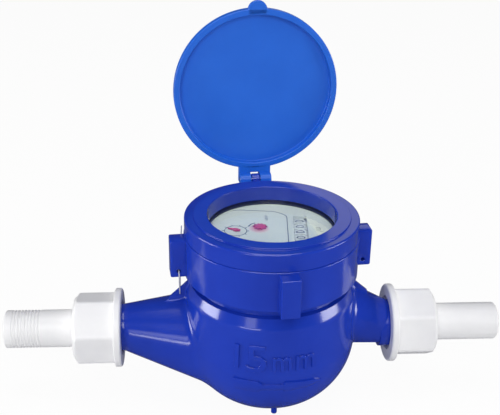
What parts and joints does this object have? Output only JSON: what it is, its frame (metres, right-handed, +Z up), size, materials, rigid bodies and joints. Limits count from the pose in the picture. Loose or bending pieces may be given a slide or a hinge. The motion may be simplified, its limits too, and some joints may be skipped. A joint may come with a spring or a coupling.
{
  "type": "water meter",
  "caption": "Vane-wheel water meter with a moulded bowl body, wrench-lug cap, hinged round lid standing open over the dial, and a union nut and tailpiece at each end.",
  "frame": {"origin": "on the pipe axis at the outer end of the inlet tailpiece", "axes": "+X along the flow from inlet to outlet, +Z up along the register axis, +Y to the hinge side"},
  "size_m": [0.277, 0.1202, 0.2148],
  "materials": {
    "blue_plastic": "glossy moulded blue plastic",
    "lid_plastic": "glossy moulded bright blue plastic",
    "white_plastic": "satin white plastic",
    "inner_plastic": "off-white plastic",
    "dial_print": "printed pale dial",
    "red_plastic": "red plastic",
    "rubber": "black rubber",
    "steel": "drawn steel",
    "window": "clear glass"
  },
  "bodies": {
    "meter": {"body": "blue_plastic", "cap_nut": "blue_plastic", "cover_ring": "blue_plastic", "glass": "window", "glass_gasket": "rubber", "dial_plate": "dial_print", "register_case": "inner_plastic", "counter_bridge": "inner_plastic", "counter_axle": "steel", "carry_axle": "steel", "measuring_chamber": "inner_plastic", "chamber_cover": "inner_plastic", "chamber_ring": "rubber", "impeller_pivot": "steel", "inlet_strainer": "inner_plastic", "inlet_washer": "rubber", "outlet_washer": "rubber", "inlet_tailpiece": "white_plastic", "outlet_tailpiece": "white_plastic", "seal_wire": "steel"},
    "lid": {"lid": "lid_plastic", "hinge_pin": "steel"},
    "impeller": {"impeller": "inner_plastic"},
    "star": {"star_arbor": "inner_plastic", "flow_star": "red_plastic"},
    "pointer": {"pointer_arbor": "inner_plastic", "litre_pointer": "red_plastic"},
    "reduction": {"reduction_arbor": "inner_plastic"},
    "worm_shaft": {"worm_arbor": "inner_plastic", "worm": "steel"},
    "inlet_nut": {"inlet_nut": "white_plastic"},
    "outlet_nut": {"outlet_nut": "white_plastic"},
    "wheel_1": {"number_wheel_1": "inner_plastic"},
    "wheel_2": {"number_wheel_2": "inner_plastic"},
    "wheel_3": {"number_wheel_3": "inner_plastic"},
    "wheel_4": {"number_wheel_4": "inner_plastic"},
    "wheel_5": {"number_wheel_5": "inner_plastic"},
    "pinion_1": {"carry_pinion_1": "inner_plastic"},
    "pinion_2": {"carry_pinion_2": "inner_plastic"},
    "pinion_3": {"carry_pinion_3": "inner_plastic"},
    "pinion_4": {"carry_pinion_4": "inner_plastic"}
  },
  "joints": [
    {"name": "lid_hinge", "type": "hinge", "parent": "meter", "child": "lid", "pos_m": [0.14146, 0.05271, 0.0676], "axis": [0.9945, 0.1045, 0], "range_deg": [0, 90]},
    {"name": "impeller_spin", "type": "hinge", "parent": "meter", "child": "impeller", "pos_m": [0.147, 0, 0], "axis": [0, 0, 1], "continuous": true},
    {"name": "star_spin", "type": "hinge", "parent": "meter", "child": "star", "pos_m": [0.14111, 0.00464, 0.04], "axis": [0, 0, 1], "continuous": true},
    {"name": "pointer_spin", "type": "hinge", "parent": "meter", "child": "pointer", "pos_m": [0.12763, 0.00123, 0.04], "axis": [0, 0, 1], "continuous": true},
    {"name": "reduction_spin", "type": "hinge", "parent": "meter", "child": "reduction", "pos_m": [0.13382, -0.01195, 0.04], "axis": [0, 0, 1], "continuous": true},
    {"name": "worm_spin", "type": "hinge", "parent": "meter", "child": "worm_shaft", "pos_m": [0.15193, -0.01518, 0.04], "axis": [0, 0, 1], "continuous": true},
    {"name": "wheel_1_spin", "type": "hinge", "parent": "meter", "child": "wheel_1", "pos_m": [0.16307, -0.00104, 0.0451], "axis": [0.0645, 0.9979, 0], "continuous": true},
    {"name": "wheel_2_spin", "type": "hinge", "parent": "meter", "child": "wheel_2", "pos_m": [0.16307, -0.00104, 0.0451], "axis": [0.0645, 0.9979, 0], "continuous": true},
    {"name": "wheel_3_spin", "type": "hinge", "parent": "meter", "child": "wheel_3", "pos_m": [0.16307, -0.00104, 0.0451], "axis": [0.0645, 0.9979, 0], "continuous": true},
    {"name": "wheel_4_spin", "type": "hinge", "parent": "meter", "child": "wheel_4", "pos_m": [0.16307, -0.00104, 0.0451], "axis": [0.0645, 0.9979, 0], "continuous": true},
    {"name": "wheel_5_spin", "type": "hinge", "parent": "meter", "child": "wheel_5", "pos_m": [0.16307, -0.00104, 0.0451], "axis": [0.0645, 0.9979, 0], "continuous": true},
    {"name": "pinion_1_spin", "type": "hinge", "parent": "meter", "child": "pinion_1", "pos_m": [0.17275, -0.00166, 0.0395], "axis": [0.0645, 0.9979, 0], "continuous": true},
    {"name": "pinion_2_spin", "type": "hinge", "parent": "meter", "child": "pinion_2", "pos_m": [0.17275, -0.00166, 0.0395], "axis": [0.0645, 0.9979, 0], "continuous": true},
    {"name": "pinion_3_spin", "type": "hinge", "parent": "meter", "child": "pinion_3", "pos_m": [0.17275, -0.00166, 0.0395], "axis": [0.0645, 0.9979, 0], "continuous": true},
    {"name": "pinion_4_spin", "type": "hinge", "parent": "meter", "child": "pinion_4", "pos_m": [0.17275, -0.00166, 0.0395], "axis": [0.0645, 0.9979, 0], "continuous": true},
    {"name": "inlet_nut_turn", "type": "hinge", "parent": "meter", "child": "inlet_nut", "pos_m": [0.056, 0, 0], "axis": [1, 0, 0], "continuous": true},
    {"name": "outlet_nut_turn", "type": "hinge", "parent": "meter", "child": "outlet_nut", "pos_m": [0.221, 0, 0], "axis": [1, 0, 0], "continuous": true}
  ],
  "couplings": [
    {"joint": "star_spin", "follows": "impeller_spin", "ratio": -0.5},
    {"joint": "pointer_spin", "follows": "impeller_spin", "ratio": 0.05},
    {"joint": "reduction_spin", "follows": "impeller_spin", "ratio": -0.005},
    {"joint": "worm_spin", "follows": "impeller_spin", "ratio": 0.0005},
    {"joint": "wheel_1_spin", "follows": "impeller_spin", "ratio": -0.00005},
    {"joint": "wheel_2_spin", "follows": "impeller_spin", "ratio": -0.000005},
    {"joint": "wheel_3_spin", "follows": "impeller_spin", "ratio": -0.0000005},
    {"joint": "wheel_4_spin", "follows": "impeller_spin", "ratio": -0.00000005},
    {"joint": "wheel_5_spin", "follows": "impeller_spin", "ratio": -0.000000005},
    {"joint": "pinion_1_spin", "follows": "impeller_spin", "ratio": 0.0000125},
    {"joint": "pinion_2_spin", "follows": "impeller_spin", "ratio": 0.00000125},
    {"joint": "pinion_3_spin", "follows": "impeller_spin", "ratio": 0.000000125},
    {"joint": "pinion_4_spin", "follows": "impeller_spin", "ratio": 0.0000000125}
  ]
}
